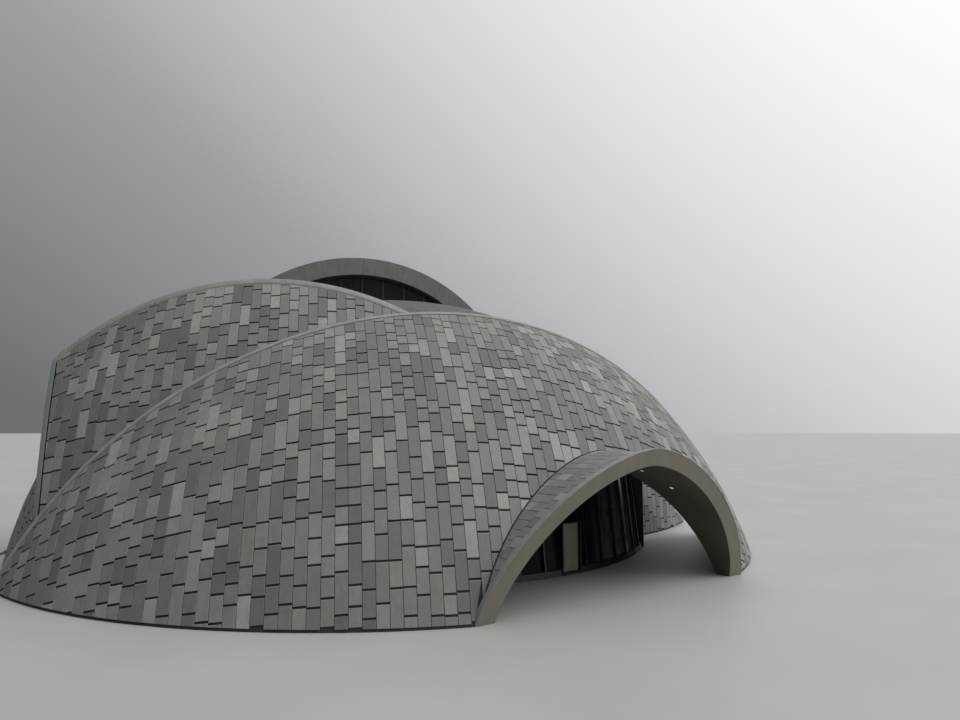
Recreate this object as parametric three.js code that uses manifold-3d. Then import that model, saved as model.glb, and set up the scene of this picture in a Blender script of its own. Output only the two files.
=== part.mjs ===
// A mosque building of overlapping spherical shells clad in stone, in millimetres, +Z up.
// The origin is on the ground below the middle of the roof dome, and the entrance side faces -Y.

import * as THREE from "three";
import { mergeVertices } from "three/addons/utils/BufferGeometryUtils.js";
import Module from "manifold-3d";

const wasm = await Module();
wasm.setup();

// Driving dimensions shared by the whole building.
const GAP = 0.3;
const RING_STEPS = 72;
const CROWN_STEPS = 40;
const REACH = 60000;
const MERGE_DISTANCE = 0.01;
const SECTOR_STEPS = 8;
// How far a cutting shape runs past what it cuts.
const OVERCUT = 100;

// The roof dome, and the round hall below it.
const DOME_CENTRE = [0, 0, -6000];
const DOME_RADIUS = 19200;
const DOME_THICKNESS = 500;
const EAVES_HEIGHT = 8000;
const EAVES_RADIUS = Math.sqrt(DOME_RADIUS ** 2 - (EAVES_HEIGHT - DOME_CENTRE[2]) ** 2);
const RING_BEAM_HEIGHT = 450;
const RING_BEAM_DEPTH = 690;
const RING_BEAM_INSET = 80;

// The large front shell: a slice of a sphere that leans back, with a rim along its free edge.
const FRONT_SHELL = {
  centre: DOME_CENTRE,
  radius: 19940,
  inner: DOME_RADIUS,
  rimTurn: -24,
  rimTilt: 15.6,
  rimOffset: -5220,
};
const RIM_WIDTH = 200;
const RIM_RISE = 120;
const DOME_UNDERLAP = 1000;

// The entrance arch: a level barrel between two pointed ovals, with a raised lip round its front.
// The front leans outwards by the lean for each unit of height.
// The exponent shapes the ovals: 2 makes an ellipse, and less than that makes the top more pointed.
const ARCH_BEARING = -55;
const ARCH_DISTANCE = 17850;
const ARCH_SHIFT = 120;
const ARCH_LEAN = 0.29;
const ARCH_EXPONENT = 1.65;
const ARCH_INNER = { halfWidth: 5980, rise: 5000, base: -270 };
const ARCH_OUTER = { halfWidth: 6570, rise: 5600, base: -460 };
const ARCH_LIP = 200;
const ARCH_LIP_DEPTH = 230;
const ARCH_REACH = 2500;
const ARCH_DEPTH = 4000;
const ARCH_STEPS = 80;

// The upright shell on the left: a shallow slice, cut off by a flat side.
const LEFT_SHELL = {
  centre: [-5383, 6063, -397],
  radius: 19940,
  inner: 19540,
  rimTurn: -2.95,
  rimTilt: 3.47,
  rimOffset: -14170,
  sideTurn: 63.81,
  sideOffset: -14680,
};
const SHELL_WALL = 300;

// The low shell outside that flat side, and the curved return wall behind it.
const LOW_SHELL = { centre: [0, 0, -3000], radius: 18540, inner: 18140 };
const RETURN_WALL = { centre: [-820, -13370, 0], radius: 19010, inner: 18610 };
const RETURN_TAIL_REACH = 2240;
const RETURN_TAIL_SLOPE = 66;
const ROOF_LEDGE = 300;

// The crown: a half dome on the roof, open to the front under a broad arch.
const CROWN_CENTRE = [-1900, 170, 6500];
const CROWN_TURN = -16.4;
const CROWN_RADIUS = 9550;
const CROWN_FASCIA = 980;
const CROWN_FASCIA_DEPTH = 500;
const CROWN_THICKNESS = 400;
const CROWN_GLASS = 40;
const CROWN_GLASS_MARGIN = 80;
const CROWN_BAR = 80;
const CROWN_BAR_SPACING = 1250;
const CROWN_BAR_COUNT = 11;
const CROWN_LIGHT_WELL = 8000;
const CROWN_WELL_START = 650;

// The glass wall around the porch, which leans inwards.
const GLASS_RADIUS = 13750;
const GLASS_LEAN = 6.2;
const GLASS_THICKNESS = 30;
const GLASS_START = -75.3;
const GLASS_END = 0;
const GLASS_END_POST = { bearing: -2.3, width: 1100, inner: 13200, outer: 13950 };
const GLASS_FIN = { bearing: -16.3, width: 200, inner: 12700, outer: 13960 };
const MULLION_WIDTH = 70;
const MULLION_DEPTH = 130;
const MULLION_FIRST = -71.6;
const MULLION_STEP = 5.05;
const MULLION_COUNT = 13;
const MULLION_END_INSET = 0.4;
const RAIL_HEIGHT = 150;
const PORCH_WALL_BEARING = -76.2;
const PORCH_WALL_THICKNESS = 350;
const PORCH_WALL_START = 12650;

// The door in the glass wall.
const DOOR_BEARING = -50.45;
const DOOR_RADIUS = 13730;
const DOOR_JAMB = 50;
const DOOR_FRAME_DEPTH = 320;
const DOOR_HEIGHT = 1980;
const DOOR_LEAF_WIDTH = 1000;
const DOOR_LEAF_THICKNESS = 45;
const DOOR_SIDE_GAP = 16;
const DOOR_END_GAP = 20;
const DOOR_PIN_RADIUS = 10;
const DOOR_PIN_INSET = 23;
const DOOR_SILL = 100;
const DOOR_PULL_RADIUS = 16;
const DOOR_PULL_LENGTH = 800;
const DOOR_PULL_MIDDLE = 750;
const DOOR_PULL_STANDOFF = 60;
const DOOR_PULL_INSET = 90;
const DOOR_PULL_FOOT = 20;
const DOOR_PULL_FOOT_INSET = 100;
const DOOR_PIN_STEPS = 16;

const FLOOR_RADIUS = 13540;
const FLOOR_THICKNESS = 100;

const MATERIALS = {
  stone: { color: 0x747771, roughness: 0.62, metalness: 0.0 },
  concrete: { color: 0x8a8a86, roughness: 0.85, metalness: 0.0 },
  coping: { color: 0x8c8d8b, roughness: 0.6, metalness: 0.1 },
  hood: { color: 0x69635a, roughness: 0.7, metalness: 0.0 },
  crown: { color: 0x56584f, roughness: 0.55, metalness: 0.2 },
  frame: { color: 0x1d1f20, roughness: 0.4, metalness: 0.6 },
  glass: { color: 0x14181a, roughness: 0.08, metalness: 0.0 },
  door: { color: 0x67675a, roughness: 0.5, metalness: 0.1 },
  floor: { color: 0xa39a86, roughness: 0.35, metalness: 0.0 },
};

// Geometry helpers.

function radians(degrees) {
  return (degrees * Math.PI) / 180;
}

function solidOf(geometry) {
  const bare = geometry.clone();
  bare.deleteAttribute("normal");
  bare.deleteAttribute("uv");
  const merged = mergeVertices(bare, MERGE_DISTANCE);
  const vertProperties = new Float32Array(merged.attributes.position.array);
  const triVerts = new Uint32Array(merged.index.array);
  return new wasm.Manifold(new wasm.Mesh({ numProp: 3, vertProperties, triVerts }));
}

function geometryOf(solid) {
  const mesh = solid.getMesh();
  const geometry = new THREE.BufferGeometry();
  geometry.setAttribute("position", new THREE.BufferAttribute(new Float32Array(mesh.vertProperties), 3));
  geometry.setIndex(new THREE.BufferAttribute(new Uint32Array(mesh.triVerts), 1));
  geometry.computeVertexNormals();
  return geometry;
}

// A ball with its poles on the level X line, so that the roof gets even facets.
function ball(centre, radius, steps = RING_STEPS) {
  const geometry = new THREE.SphereGeometry(radius, steps, steps / 2);
  geometry.rotateZ(Math.PI / 2);
  geometry.translate(...centre);
  return solidOf(geometry);
}

function drum(radius, low, high) {
  const geometry = new THREE.CylinderGeometry(radius, radius, high - low, RING_STEPS);
  geometry.rotateX(Math.PI / 2);
  geometry.translate(0, 0, (low + high) / 2);
  return solidOf(geometry);
}

// A full ring whose section is a closed outline of [radius, height] points.
function ring(outline) {
  const points = [...outline, outline[0]].map(([radius, height]) => new THREE.Vector2(radius, height));
  const geometry = new THREE.LatheGeometry(points, RING_STEPS);
  geometry.rotateX(Math.PI / 2);
  return solidOf(geometry);
}

// A tall wedge between two bearings, measured anticlockwise from +X.
function sector(startBearing, endBearing) {
  const shape = new THREE.Shape();
  shape.moveTo(0, 0);
  for (let step = 0; step <= SECTOR_STEPS; step += 1) {
    const angle = radians(startBearing + ((endBearing - startBearing) * step) / SECTOR_STEPS);
    shape.lineTo(REACH * Math.cos(angle), REACH * Math.sin(angle));
  }
  const geometry = new THREE.ExtrudeGeometry(shape, { depth: REACH, bevelEnabled: false });
  geometry.translate(0, 0, -REACH / 2);
  return solidOf(geometry);
}

function planeNormal(turn, tilt = 0) {
  const level = Math.cos(radians(tilt));
  return [Math.sin(radians(turn)) * level, Math.cos(radians(turn)) * level, Math.sin(radians(tilt))];
}

function dot(a, b) {
  return a[0] * b[0] + a[1] * b[1] + a[2] * b[2];
}

// Keeps what lies further along the normal than the offset from the centre.
function keepBeyond(solid, normal, offset, centre = [0, 0, 0]) {
  return solid.trimByPlane(normal, dot(centre, normal) + offset);
}

function keepBefore(solid, normal, offset, centre = [0, 0, 0]) {
  const reversed = normal.map((value) => -value);
  return solid.trimByPlane(reversed, -(dot(centre, normal) + offset));
}

function aboveGround(solid) {
  return keepBeyond(solid, [0, 0, 1], 0);
}

function largestPart(solid) {
  const parts = solid.decompose();
  return parts.reduce((best, part) => (part.volume() > best.volume() ? part : best));
}

// Places a shape whose own axes are tangent, outward and up at a bearing and distance.
function placeAtBearing(geometry, bearing, distance) {
  const angle = radians(bearing);
  geometry.rotateZ(angle - Math.PI / 2);
  return geometry.translate(distance * Math.cos(angle), distance * Math.sin(angle), 0);
}

function box(width, depth, height, x, y, z) {
  return new THREE.BoxGeometry(width, depth, height).translate(x, y, z);
}

// What the roof dome and the hall below it take up, for pieces that end against them.
function coreVolume() {
  const cap = keepBeyond(ball(DOME_CENTRE, DOME_RADIUS + GAP), [0, 0, 1], EAVES_HEIGHT - GAP);
  return cap.add(drum(EAVES_RADIUS + GAP, -OVERCUT, EAVES_HEIGHT)).add(floorSlab(GAP));
}

// The round roof and its beam.

function crownFront() {
  return planeNormal(CROWN_TURN);
}

function roofDome() {
  const shell = ball(DOME_CENTRE, DOME_RADIUS - GAP).subtract(ball(DOME_CENTRE, DOME_RADIUS - DOME_THICKNESS));
  const cap = keepBeyond(shell, [0, 0, 1], EAVES_HEIGHT);
  return cap.subtract(crownVolume(CROWN_LIGHT_WELL, CROWN_WELL_START));
}

function ringBeam(grow = 0) {
  const outer = EAVES_RADIUS - RING_BEAM_INSET + grow;
  const inner = EAVES_RADIUS - RING_BEAM_DEPTH - grow;
  const low = EAVES_HEIGHT - RING_BEAM_HEIGHT - grow;
  const high = EAVES_HEIGHT - GAP + grow;
  return ring([[inner, low], [outer, low], [outer, high], [inner, high]]);
}

// The crown on top of the roof.

function crownVolume(radius, start) {
  return keepBeyond(ball(CROWN_CENTRE, radius, CROWN_STEPS), crownFront(), start, CROWN_CENTRE);
}

function aboveDome(solid) {
  return largestPart(solid.subtract(ball(DOME_CENTRE, DOME_RADIUS)));
}

function crownShell() {
  const start = CROWN_FASCIA_DEPTH + GAP;
  const outer = crownVolume(CROWN_RADIUS - GAP, start);
  const shell = outer.subtract(crownVolume(CROWN_RADIUS - CROWN_THICKNESS, start - OVERCUT));
  return aboveDome(shell.subtract(leftLens(RIM_RISE + GAP).rotate([0, 0, 180])));
}

function crownDisc(radius, start, depth) {
  const geometry = new THREE.CylinderGeometry(radius, radius, depth, ARCH_STEPS);
  geometry.translate(0, start + depth / 2, 0);
  geometry.rotateZ(radians(-CROWN_TURN));
  geometry.translate(...CROWN_CENTRE);
  return solidOf(geometry);
}

function crownArch() {
  const disc = crownDisc(CROWN_RADIUS, 0, CROWN_FASCIA_DEPTH);
  const open = crownDisc(CROWN_RADIUS - CROWN_FASCIA, -OVERCUT, CROWN_FASCIA_DEPTH + 2 * OVERCUT);
  return aboveDome(disc.subtract(open));
}

function crownGlass() {
  const start = CROWN_FASCIA_DEPTH + GAP + CROWN_BAR + GAP;
  const disc = crownDisc(CROWN_RADIUS - CROWN_THICKNESS - CROWN_GLASS_MARGIN, start, CROWN_GLASS);
  return aboveDome(disc);
}

// One rail along the arch and one along the roof carry the upright bars.
function crownBars() {
  const start = CROWN_FASCIA_DEPTH + GAP;
  const openRadius = CROWN_RADIUS - CROWN_FASCIA;
  const disc = crownDisc(openRadius + CROWN_BAR, start, CROWN_BAR);
  const hole = crownDisc(openRadius - CROWN_BAR, start - OVERCUT, CROWN_BAR + 2 * OVERCUT)
    .subtract(ball(DOME_CENTRE, DOME_RADIUS + 2 * CROWN_BAR));
  let bars = disc.subtract(hole);
  for (let index = 0; index < CROWN_BAR_COUNT; index += 1) {
    const across = (index - (CROWN_BAR_COUNT - 1) / 2) * CROWN_BAR_SPACING;
    const bar = box(CROWN_BAR, CROWN_BAR, CROWN_RADIUS, across, start + CROWN_BAR / 2, CROWN_RADIUS / 2);
    bar.rotateZ(radians(-CROWN_TURN));
    bar.translate(...CROWN_CENTRE);
    bars = bars.add(disc.intersect(solidOf(bar)));
  }
  return aboveDome(bars);
}

// The front shell with its arch.

function archBarrel({ halfWidth, rise, base }, grow, overlap = 0) {
  const shape = new THREE.Shape();
  for (let step = 0; step <= ARCH_STEPS; step += 1) {
    const angle = (Math.PI * step) / ARCH_STEPS;
    const across = Math.abs(Math.cos(angle)) ** (2 / ARCH_EXPONENT) * Math.sign(Math.cos(angle));
    const up = Math.sin(angle) ** (2 / ARCH_EXPONENT);
    const point = [(halfWidth + grow) * across - ARCH_SHIFT, base + (rise + grow) * up];
    if (step === 0) {
      shape.moveTo(...point);
    } else {
      shape.lineTo(...point);
    }
  }
  const depth = ARCH_REACH + ARCH_DEPTH + 2 * overlap;
  const geometry = new THREE.ExtrudeGeometry(shape, { depth, bevelEnabled: false });
  geometry.rotateX(Math.PI / 2);
  geometry.translate(0, ARCH_REACH + overlap, 0);
  return solidOf(placeAtBearing(geometry, ARCH_BEARING, ARCH_DISTANCE));
}

// The leaning plane of the arch's front, or of a level depth behind it.
function archFront(depth = 0) {
  const slope = Math.hypot(1, ARCH_LEAN);
  const [x, y] = [Math.cos(radians(ARCH_BEARING)), Math.sin(radians(ARCH_BEARING))];
  return { normal: [x / slope, y / slope, -ARCH_LEAN / slope], offset: (ARCH_DISTANCE - depth) / slope };
}

function archLip(grow = 0) {
  const back = archFront(ARCH_LIP_DEPTH + grow);
  return keepBeyond(archBarrel(ARCH_OUTER, ARCH_LIP + grow), back.normal, back.offset);
}

function sliceOfShell(shell, outer, inner) {
  const hollow = aboveGround(ball(shell.centre, outer).subtract(ball(shell.centre, inner)));
  return keepBefore(hollow, planeNormal(shell.rimTurn, shell.rimTilt), shell.rimOffset, shell.centre);
}

function frontShell() {
  const slice = sliceOfShell(FRONT_SHELL, FRONT_SHELL.radius, FRONT_SHELL.inner);
  const opening = archBarrel(ARCH_OUTER, GAP).add(archLip(GAP));
  return largestPart(slice.subtract(opening));
}

function frontRim() {
  const band = sliceOfShell(FRONT_SHELL, FRONT_SHELL.radius + RIM_RISE, FRONT_SHELL.radius + GAP);
  const normal = planeNormal(FRONT_SHELL.rimTurn, FRONT_SHELL.rimTilt);
  return keepBeyond(band, normal, FRONT_SHELL.rimOffset - RIM_WIDTH, FRONT_SHELL.centre);
}

function entranceHood() {
  const front = archFront();
  const outer = archBarrel(ARCH_OUTER, 0).add(archLip());
  const inner = archBarrel(ARCH_INNER, 0, OVERCUT);
  const arch = aboveGround(keepBefore(outer.subtract(inner), front.normal, front.offset));
  return largestPart(arch.subtract(ball(FRONT_SHELL.centre, FRONT_SHELL.inner)));
}

// The bare wall that closes the slot between the front shell and the left shell.
function linkWall() {
  const shell = ball(DOME_CENTRE, DOME_RADIUS - GAP).subtract(ball(DOME_CENTRE, DOME_RADIUS - DOME_THICKNESS));
  const low = keepBefore(aboveGround(shell), [0, 0, 1], EAVES_HEIGHT - GAP);
  const frontNormal = planeNormal(FRONT_SHELL.rimTurn, FRONT_SHELL.rimTilt);
  const behind = keepBeyond(low, frontNormal, FRONT_SHELL.rimOffset - DOME_UNDERLAP, DOME_CENTRE);
  const sideNormal = planeNormal(LEFT_SHELL.sideTurn);
  const beside = keepBeyond(behind, sideNormal, LEFT_SHELL.sideOffset, LEFT_SHELL.centre);
  const leftHalf = keepBefore(beside, [1, 0, 0], 0);
  const frontHalf = keepBefore(leftHalf, [0, 1, 0], 0);
  const free = frontHalf.subtract(ball(LEFT_SHELL.centre, LEFT_SHELL.radius + GAP));
  return largestPart(free.subtract(ringBeam(GAP)));
}

// The left shell: its curved face, its two flat walls and the trims along its edges.

function leftSlice(outer, inner) {
  const hollow = aboveGround(ball(LEFT_SHELL.centre, outer).subtract(ball(LEFT_SHELL.centre, inner)));
  return leftWithin(hollow, 0, 0);
}

// All that the left shell takes up, with its hollow.
function leftLens(grow) {
  return leftWithin(ball(LEFT_SHELL.centre, LEFT_SHELL.radius + grow), -GAP, -GAP);
}

function leftWithin(solid, rimInset, sideInset) {
  const { centre, rimTurn, rimTilt, rimOffset, sideTurn, sideOffset } = LEFT_SHELL;
  const cut = keepBefore(solid, planeNormal(rimTurn, rimTilt), rimOffset - rimInset, centre);
  return keepBeyond(cut, planeNormal(sideTurn), sideOffset + sideInset, centre);
}

function outsideCore(solid) {
  return largestPart(solid.subtract(coreVolume()));
}

function leftFace() {
  return outsideCore(leftSlice(LEFT_SHELL.radius, LEFT_SHELL.inner));
}

function leftBackWall() {
  const { centre, rimTurn, rimTilt, rimOffset, inner } = LEFT_SHELL;
  const lens = leftWithin(aboveGround(ball(centre, inner - GAP)), 0, 0);
  const wall = keepBeyond(lens, planeNormal(rimTurn, rimTilt), rimOffset - SHELL_WALL, centre);
  return outsideCore(wall);
}

function leftSideWall() {
  const { centre, sideTurn, sideOffset, inner } = LEFT_SHELL;
  const lens = leftWithin(aboveGround(ball(centre, inner - GAP)), SHELL_WALL + GAP, 0);
  return outsideCore(keepBefore(lens, planeNormal(sideTurn), sideOffset + SHELL_WALL, centre));
}

function leftRim() {
  const { centre, rimTurn, rimTilt, rimOffset, radius } = LEFT_SHELL;
  const band = leftSlice(radius + RIM_RISE, radius + GAP);
  const edge = keepBeyond(band, planeNormal(rimTurn, rimTilt), rimOffset - RIM_WIDTH, centre);
  return outsideCore(edge);
}

function leftEdgeTrim() {
  const { centre, sideTurn, sideOffset, radius } = LEFT_SHELL;
  const band = leftWithin(leftSlice(radius + RIM_RISE, radius + GAP), RIM_WIDTH + GAP, 0);
  const edge = keepBefore(band, planeNormal(sideTurn), sideOffset + RIM_WIDTH, centre);
  return outsideCore(edge.subtract(ball(DOME_CENTRE, DOME_RADIUS)));
}

// The low shell beside the left shell, and the return wall that runs in to the hall.

function lowShell() {
  const { centre, radius, inner } = LOW_SHELL;
  const hollow = aboveGround(ball(centre, radius).subtract(ball(centre, inner)));
  const sideNormal = planeNormal(LEFT_SHELL.sideTurn);
  const outside = keepBefore(hollow, sideNormal, LEFT_SHELL.sideOffset - GAP, LEFT_SHELL.centre);
  const frontNormal = planeNormal(FRONT_SHELL.rimTurn, FRONT_SHELL.rimTilt);
  const behind = keepBeyond(outside, frontNormal, FRONT_SHELL.rimOffset + GAP, DOME_CENTRE);
  return largestPart(behind.intersect(ball(RETURN_WALL.centre, RETURN_WALL.inner - GAP)));
}

function returnWall() {
  const { centre, radius, inner } = RETURN_WALL;
  const hollow = aboveGround(ball(centre, radius).subtract(ball(centre, inner)));
  const low = keepBefore(hollow, [0, 0, 1], EAVES_HEIGHT - GAP);
  const left = keepBefore(low, [1, 0, 0], 0);
  const rimNormal = planeNormal(LEFT_SHELL.rimTurn, LEFT_SHELL.rimTilt);
  const behind = keepBeyond(left, rimNormal, LEFT_SHELL.rimOffset + GAP, LEFT_SHELL.centre);
  const { centre: sideCentre, sideTurn, sideOffset } = LEFT_SHELL;
  const main = keepBeyond(behind, planeNormal(sideTurn), sideOffset, sideCentre);
  return outsideCore(main.add(returnTail(behind)));
}

// The low end of the return wall, outside the flat side, slopes down to the ground.
function returnTail(wall) {
  const { centre, sideTurn, sideOffset } = LEFT_SHELL;
  const outside = keepBefore(wall, planeNormal(sideTurn), sideOffset + OVERCUT, centre);
  const slope = planeNormal(sideTurn, -RETURN_TAIL_SLOPE);
  const [x, y] = planeNormal(sideTurn);
  const reach = sideOffset - RETURN_TAIL_REACH;
  const tip = [centre[0] + x * reach, centre[1] + y * reach, 0];
  return keepBeyond(outside, slope, 0, tip);
}

// The flat wall between the left shell's back wall and the return wall.
function annexSideWall() {
  const { centre, inner } = RETURN_WALL;
  const block = aboveGround(ball(centre, inner - GAP));
  const low = keepBefore(block, [0, 0, 1], EAVES_HEIGHT - ROOF_LEDGE - GAP);
  const left = keepBefore(low, [1, 0, 0], 0);
  const rimNormal = planeNormal(LEFT_SHELL.rimTurn, LEFT_SHELL.rimTilt);
  const behind = keepBeyond(left, rimNormal, LEFT_SHELL.rimOffset + GAP, LEFT_SHELL.centre);
  const sideNormal = planeNormal(LEFT_SHELL.sideTurn);
  const outer = keepBeyond(behind, sideNormal, LEFT_SHELL.sideOffset, LEFT_SHELL.centre);
  return outsideCore(keepBefore(outer, sideNormal, LEFT_SHELL.sideOffset + SHELL_WALL, LEFT_SHELL.centre));
}

function annexRoof() {
  const { centre, inner } = RETURN_WALL;
  const bottom = EAVES_HEIGHT - ROOF_LEDGE;
  const disc = drum(REACH / 3, bottom, EAVES_HEIGHT - GAP).intersect(ball(centre, inner - GAP));
  const left = keepBefore(disc, [1, 0, 0], 0);
  const rimNormal = planeNormal(LEFT_SHELL.rimTurn, LEFT_SHELL.rimTilt);
  const behind = keepBeyond(left, rimNormal, LEFT_SHELL.rimOffset + GAP, LEFT_SHELL.centre);
  const sideNormal = planeNormal(LEFT_SHELL.sideTurn);
  return outsideCore(keepBeyond(behind, sideNormal, LEFT_SHELL.sideOffset, LEFT_SHELL.centre));
}

// The glass wall of the porch.

function leanAt(height) {
  return height * Math.tan(radians(GLASS_LEAN));
}

function leaningRing(outer, inner, low, high) {
  return ring([
    [inner - leanAt(low), low],
    [outer - leanAt(low), low],
    [outer - leanAt(high), high],
    [inner - leanAt(high), high],
  ]);
}

function glassTop() {
  return EAVES_HEIGHT - RING_BEAM_HEIGHT - GAP;
}

function insidePorch(solid) {
  const wall = returnWallOpposite(RETURN_WALL.radius + GAP);
  return solid.intersect(sector(GLASS_START, GLASS_END)).subtract(wall);
}

// The volume inside the return wall on the right, which is the left one turned half way round.
function returnWallOpposite(radius) {
  const [x, y, z] = RETURN_WALL.centre;
  return ball([-x, -y, z], radius);
}

function doorwayVolume(grow) {
  const width = doorFrameWidth() + 2 * grow;
  const height = DOOR_SILL + DOOR_HEIGHT + DOOR_JAMB + grow;
  const geometry = box(width, 4 * DOOR_FRAME_DEPTH, 2 * height, 0, 0, 0);
  return solidOf(placeAtBearing(geometry, DOOR_BEARING, DOOR_RADIUS));
}

function glassPanes(withDoor) {
  const outer = GLASS_RADIUS;
  const sheet = leaningRing(outer, outer - GLASS_THICKNESS, FLOOR_THICKNESS + GAP, glassTop());
  const wall = insidePorch(sheet).subtract(endPostVolume(GAP));
  return largestPart(withDoor ? wall.subtract(doorwayVolume(GAP)) : wall);
}

// The upright block that closes the leaning glass against the return wall.
function endPostVolume(grow) {
  return uprightBlock(GLASS_END_POST, grow);
}

function uprightBlock({ bearing, width, inner, outer }, grow) {
  const height = glassTop();
  const depth = outer - inner + 2 * grow;
  const block = box(width + 2 * grow, depth, height, 0, depth / 2 - grow, height / 2);
  return solidOf(placeAtBearing(block, bearing, inner));
}

// An upright fin that stands in front of the leaning frame.
function glassFin(inner) {
  const top = glassTop();
  const outside = insidePorch(leaningRing(GLASS_FIN.outer + leanAt(top), inner, 0, top));
  const fin = uprightBlock(GLASS_FIN, 0).intersect(outside);
  return fin.intersect(ball(DOME_CENTRE, DOME_RADIUS - GAP));
}

function mullion(bearing) {
  const top = glassTop();
  const length = top / Math.cos(radians(GLASS_LEAN));
  const out = MULLION_DEPTH / 2 + GAP;
  const geometry = box(MULLION_WIDTH, MULLION_DEPTH, length + 4 * OVERCUT, 0, out, length / 2);
  geometry.rotateX(radians(GLASS_LEAN));
  return solidOf(placeAtBearing(geometry, bearing, GLASS_RADIUS));
}

function glassFrame(withDoor) {
  const inner = GLASS_RADIUS + GAP;
  const outer = inner + MULLION_DEPTH;
  const top = glassTop();
  let frame = insidePorch(leaningRing(outer, inner, 0, FLOOR_THICKNESS + RAIL_HEIGHT));
  frame = frame.add(insidePorch(leaningRing(outer, inner, top - RAIL_HEIGHT, top)));
  const space = insidePorch(leaningRing(outer + OVERCUT, inner, 0, top));
  for (let index = 0; index < MULLION_COUNT; index += 1) {
    frame = frame.add(mullion(MULLION_FIRST + MULLION_STEP * index).intersect(space));
  }
  frame = frame.add(mullion(GLASS_START + MULLION_END_INSET).intersect(space));
  frame = frame.add(insidePorch(endPostVolume(0)).subtract(floorSlab(GAP)));
  frame = frame.add(glassFin(inner));
  return largestPart(withDoor ? frame.subtract(doorwayVolume(GAP)) : frame);
}

function porchWall() {
  const geometry = box(PORCH_WALL_THICKNESS, REACH, EAVES_HEIGHT, 0, REACH / 2, EAVES_HEIGHT / 2);
  const slab = solidOf(placeAtBearing(geometry, PORCH_WALL_BEARING, PORCH_WALL_START));
  const inside = slab.intersect(ball(DOME_CENTRE, DOME_RADIUS - GAP));
  const hall = drum(PORCH_WALL_START, -OVERCUT, EAVES_HEIGHT + OVERCUT).add(floorSlab(GAP));
  const clear = inside.subtract(hall);
  const low = keepBefore(clear, [0, 0, 1], EAVES_HEIGHT - RING_BEAM_HEIGHT - GAP);
  const high = keepBefore(clear.subtract(coreVolume()), [0, 0, 1], EAVES_HEIGHT - GAP);
  return largestPart(aboveGround(low.add(high)));
}

// The door.

function doorFrameWidth() {
  return 2 * (DOOR_JAMB + DOOR_SIDE_GAP) + DOOR_LEAF_WIDTH;
}

function doorFrame() {
  const width = doorFrameWidth();
  const top = DOOR_SILL + DOOR_HEIGHT + DOOR_JAMB;
  const whole = solidOf(box(width, DOOR_FRAME_DEPTH, top, 0, 0, top / 2));
  const clearWidth = width - 2 * DOOR_JAMB;
  const opening = box(clearWidth, 2 * DOOR_FRAME_DEPTH, DOOR_HEIGHT, 0, 0, DOOR_SILL + DOOR_HEIGHT / 2);
  const frame = geometryOf(whole.subtract(solidOf(opening)));
  return solidOf(placeAtBearing(frame, DOOR_BEARING, DOOR_RADIUS));
}

// A leaf in its own frame: the pivot line is the local Z axis and the leaf runs along +X.
function doorLeaf() {
  const bottom = DOOR_SILL + DOOR_END_GAP;
  const height = DOOR_HEIGHT - 2 * DOOR_END_GAP;
  const middle = DOOR_LEAF_WIDTH / 2 - DOOR_PIN_INSET;
  let leaf = solidOf(box(DOOR_LEAF_WIDTH, DOOR_LEAF_THICKNESS, height, middle, 0, bottom + height / 2));
  const pinLength = DOOR_HEIGHT - 2 * GAP;
  const pin = new THREE.CylinderGeometry(DOOR_PIN_RADIUS, DOOR_PIN_RADIUS, pinLength, DOOR_PIN_STEPS);
  pin.rotateX(Math.PI / 2);
  pin.translate(0, 0, DOOR_SILL + DOOR_HEIGHT / 2);
  leaf = leaf.add(solidOf(pin));
  return leaf.add(doorPull());
}

function doorPull() {
  const across = DOOR_LEAF_WIDTH - DOOR_PIN_INSET - DOOR_PULL_INSET;
  const out = DOOR_LEAF_THICKNESS / 2 + DOOR_PULL_STANDOFF;
  const bar = new THREE.CylinderGeometry(DOOR_PULL_RADIUS, DOOR_PULL_RADIUS, DOOR_PULL_LENGTH, DOOR_PIN_STEPS);
  bar.rotateX(Math.PI / 2);
  bar.translate(across, out, DOOR_PULL_MIDDLE);
  let pull = solidOf(bar);
  for (const end of [-1, 1]) {
    const half = DOOR_PULL_STANDOFF / 2;
    const foot = box(DOOR_PULL_FOOT, DOOR_PULL_STANDOFF, DOOR_PULL_FOOT, across, out - half, 0);
    foot.translate(0, 0, DOOR_PULL_MIDDLE + end * (DOOR_PULL_LENGTH / 2 - DOOR_PULL_FOOT_INSET));
    pull = pull.add(solidOf(foot));
  }
  return pull;
}

function placedLeaf() {
  const leaf = geometryOf(doorLeaf());
  leaf.translate(DOOR_PIN_INSET - DOOR_LEAF_WIDTH / 2, 0, 0);
  return solidOf(placeAtBearing(leaf, DOOR_BEARING, DOOR_RADIUS));
}

function floorSlab(grow = 0) {
  return drum(FLOOR_RADIUS + grow, -grow, FLOOR_THICKNESS + grow);
}

// The building.

const building = new THREE.Group();

function addPiece(name, solid, look, turned = false) {
  const material = new THREE.MeshStandardMaterial(MATERIALS[look]);
  const mesh = new THREE.Mesh(geometryOf(solid), material);
  mesh.name = name;
  if (turned) {
    mesh.rotation.z = Math.PI;
  }
  building.add(mesh);
}

// Each of these stands once on the entrance side and once, turned half way round, at the back.
function addBothSides(frontName, rearName, solid, look) {
  addPiece(frontName, solid, look);
  addPiece(rearName, solid, look, true);
}

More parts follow.
